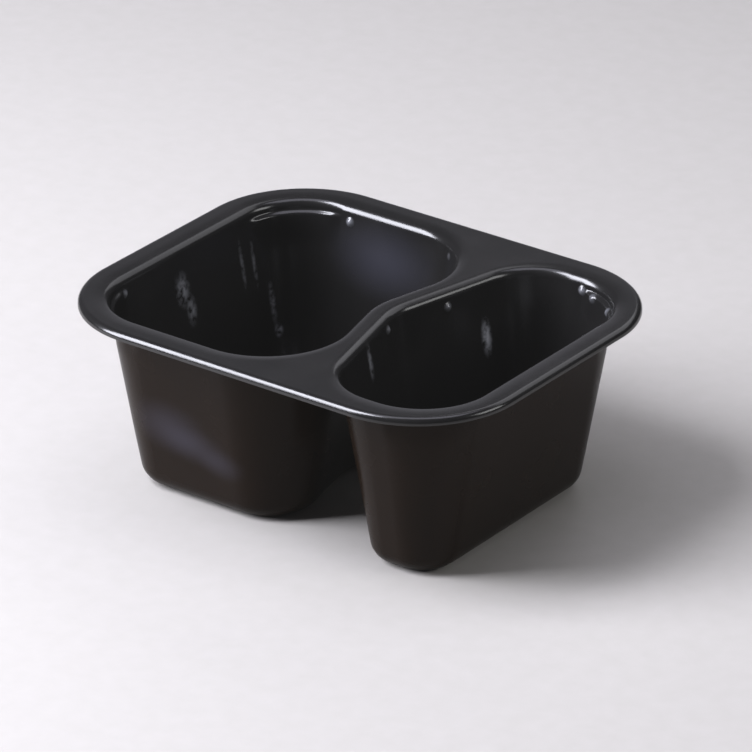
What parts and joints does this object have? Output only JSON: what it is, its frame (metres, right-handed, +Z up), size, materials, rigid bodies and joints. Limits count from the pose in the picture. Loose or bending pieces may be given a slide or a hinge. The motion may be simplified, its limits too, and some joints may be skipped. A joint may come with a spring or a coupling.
{
  "type": "two-compartment food tray",
  "caption": "Deep black plastic food tray: two rounded pockets with sloping walls, a bent divider between them and a flat rim with a turned-down edge.",
  "frame": {"origin": "centre of the tray's outline in plan, on the surface it stands on", "axes": "+X along the long side, from the larger pocket to the smaller one; +Y along the short side, away from the viewer of the picture; +Z up, out of the pockets"},
  "size_m": [0.165, 0.1344, 0.0659],
  "materials": {
    "black_plastic": "moulded black sheet with a soft gloss"
  },
  "bodies": {
    "root": {"tray": "black_plastic"}
  },
  "joints": []
}
